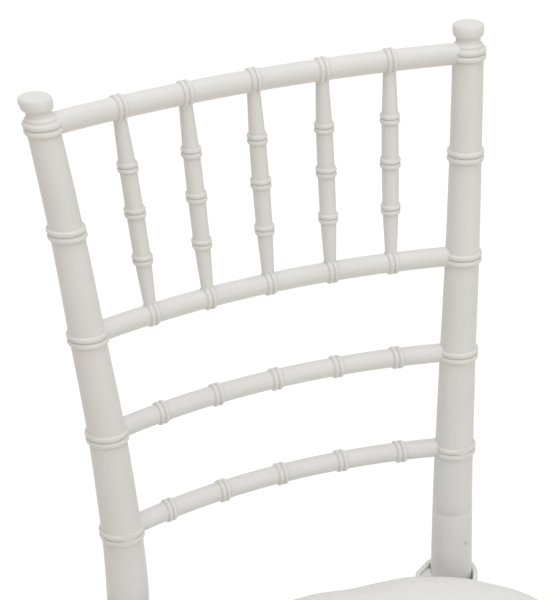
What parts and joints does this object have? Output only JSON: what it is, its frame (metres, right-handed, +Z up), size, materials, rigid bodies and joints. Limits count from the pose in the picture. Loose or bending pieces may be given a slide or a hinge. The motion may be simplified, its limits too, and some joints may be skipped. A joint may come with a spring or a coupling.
{
  "type": "dining chair",
  "caption": "Banquet chair with a bamboo-look turned frame, bowed back rails, a spindle panel and a loose seat cushion strapped to the back.",
  "frame": {"origin": "on the floor under the middle of the chair's width and depth", "axes": "+Z up; the chair faces -Y, so +X is its right-hand side seen from the front"},
  "size_m": [0.3988, 0.4857, 0.917],
  "materials": {
    "moulded_resin": "satin moulded resin, warm white",
    "cushion_fabric": "soft smooth cloth, off-white",
    "strap_fabric": "woven strap, off-white",
    "glide_plastic": "soft plastic, pale grey",
    "screw_steel": "plain"
  },
  "bodies": {
    "chair": {"back_post_left": "moulded_resin", "back_post_right": "moulded_resin", "crest_rail": "moulded_resin", "cushion_straps": "strap_fabric", "front_leg_left": "moulded_resin", "front_leg_right": "moulded_resin", "front_stretcher_lower": "moulded_resin", "front_stretcher_upper": "moulded_resin", "glides": "glide_plastic", "low_rail": "moulded_resin", "middle_rail": "moulded_resin", "post_lock_screws": "screw_steel", "rear_leg_left": "moulded_resin", "rear_leg_right": "moulded_resin", "rear_stretcher": "moulded_resin", "seat_frame": "moulded_resin", "side_stretcher_lower_left": "moulded_resin", "side_stretcher_lower_right": "moulded_resin", "side_stretcher_upper_left": "moulded_resin", "side_stretcher_upper_right": "moulded_resin", "spindle_1": "moulded_resin", "spindle_2": "moulded_resin", "spindle_3": "moulded_resin", "spindle_4": "moulded_resin", "spindle_5": "moulded_resin", "spindle_rail": "moulded_resin"},
    "cushion": {"seat_cushion": "cushion_fabric"}
  },
  "joints": [
    {"name": "cushion_lift", "type": "slide", "parent": "chair", "child": "cushion", "axis": [0, 0, 1], "range_m": [0, 0.15]}
  ]
}
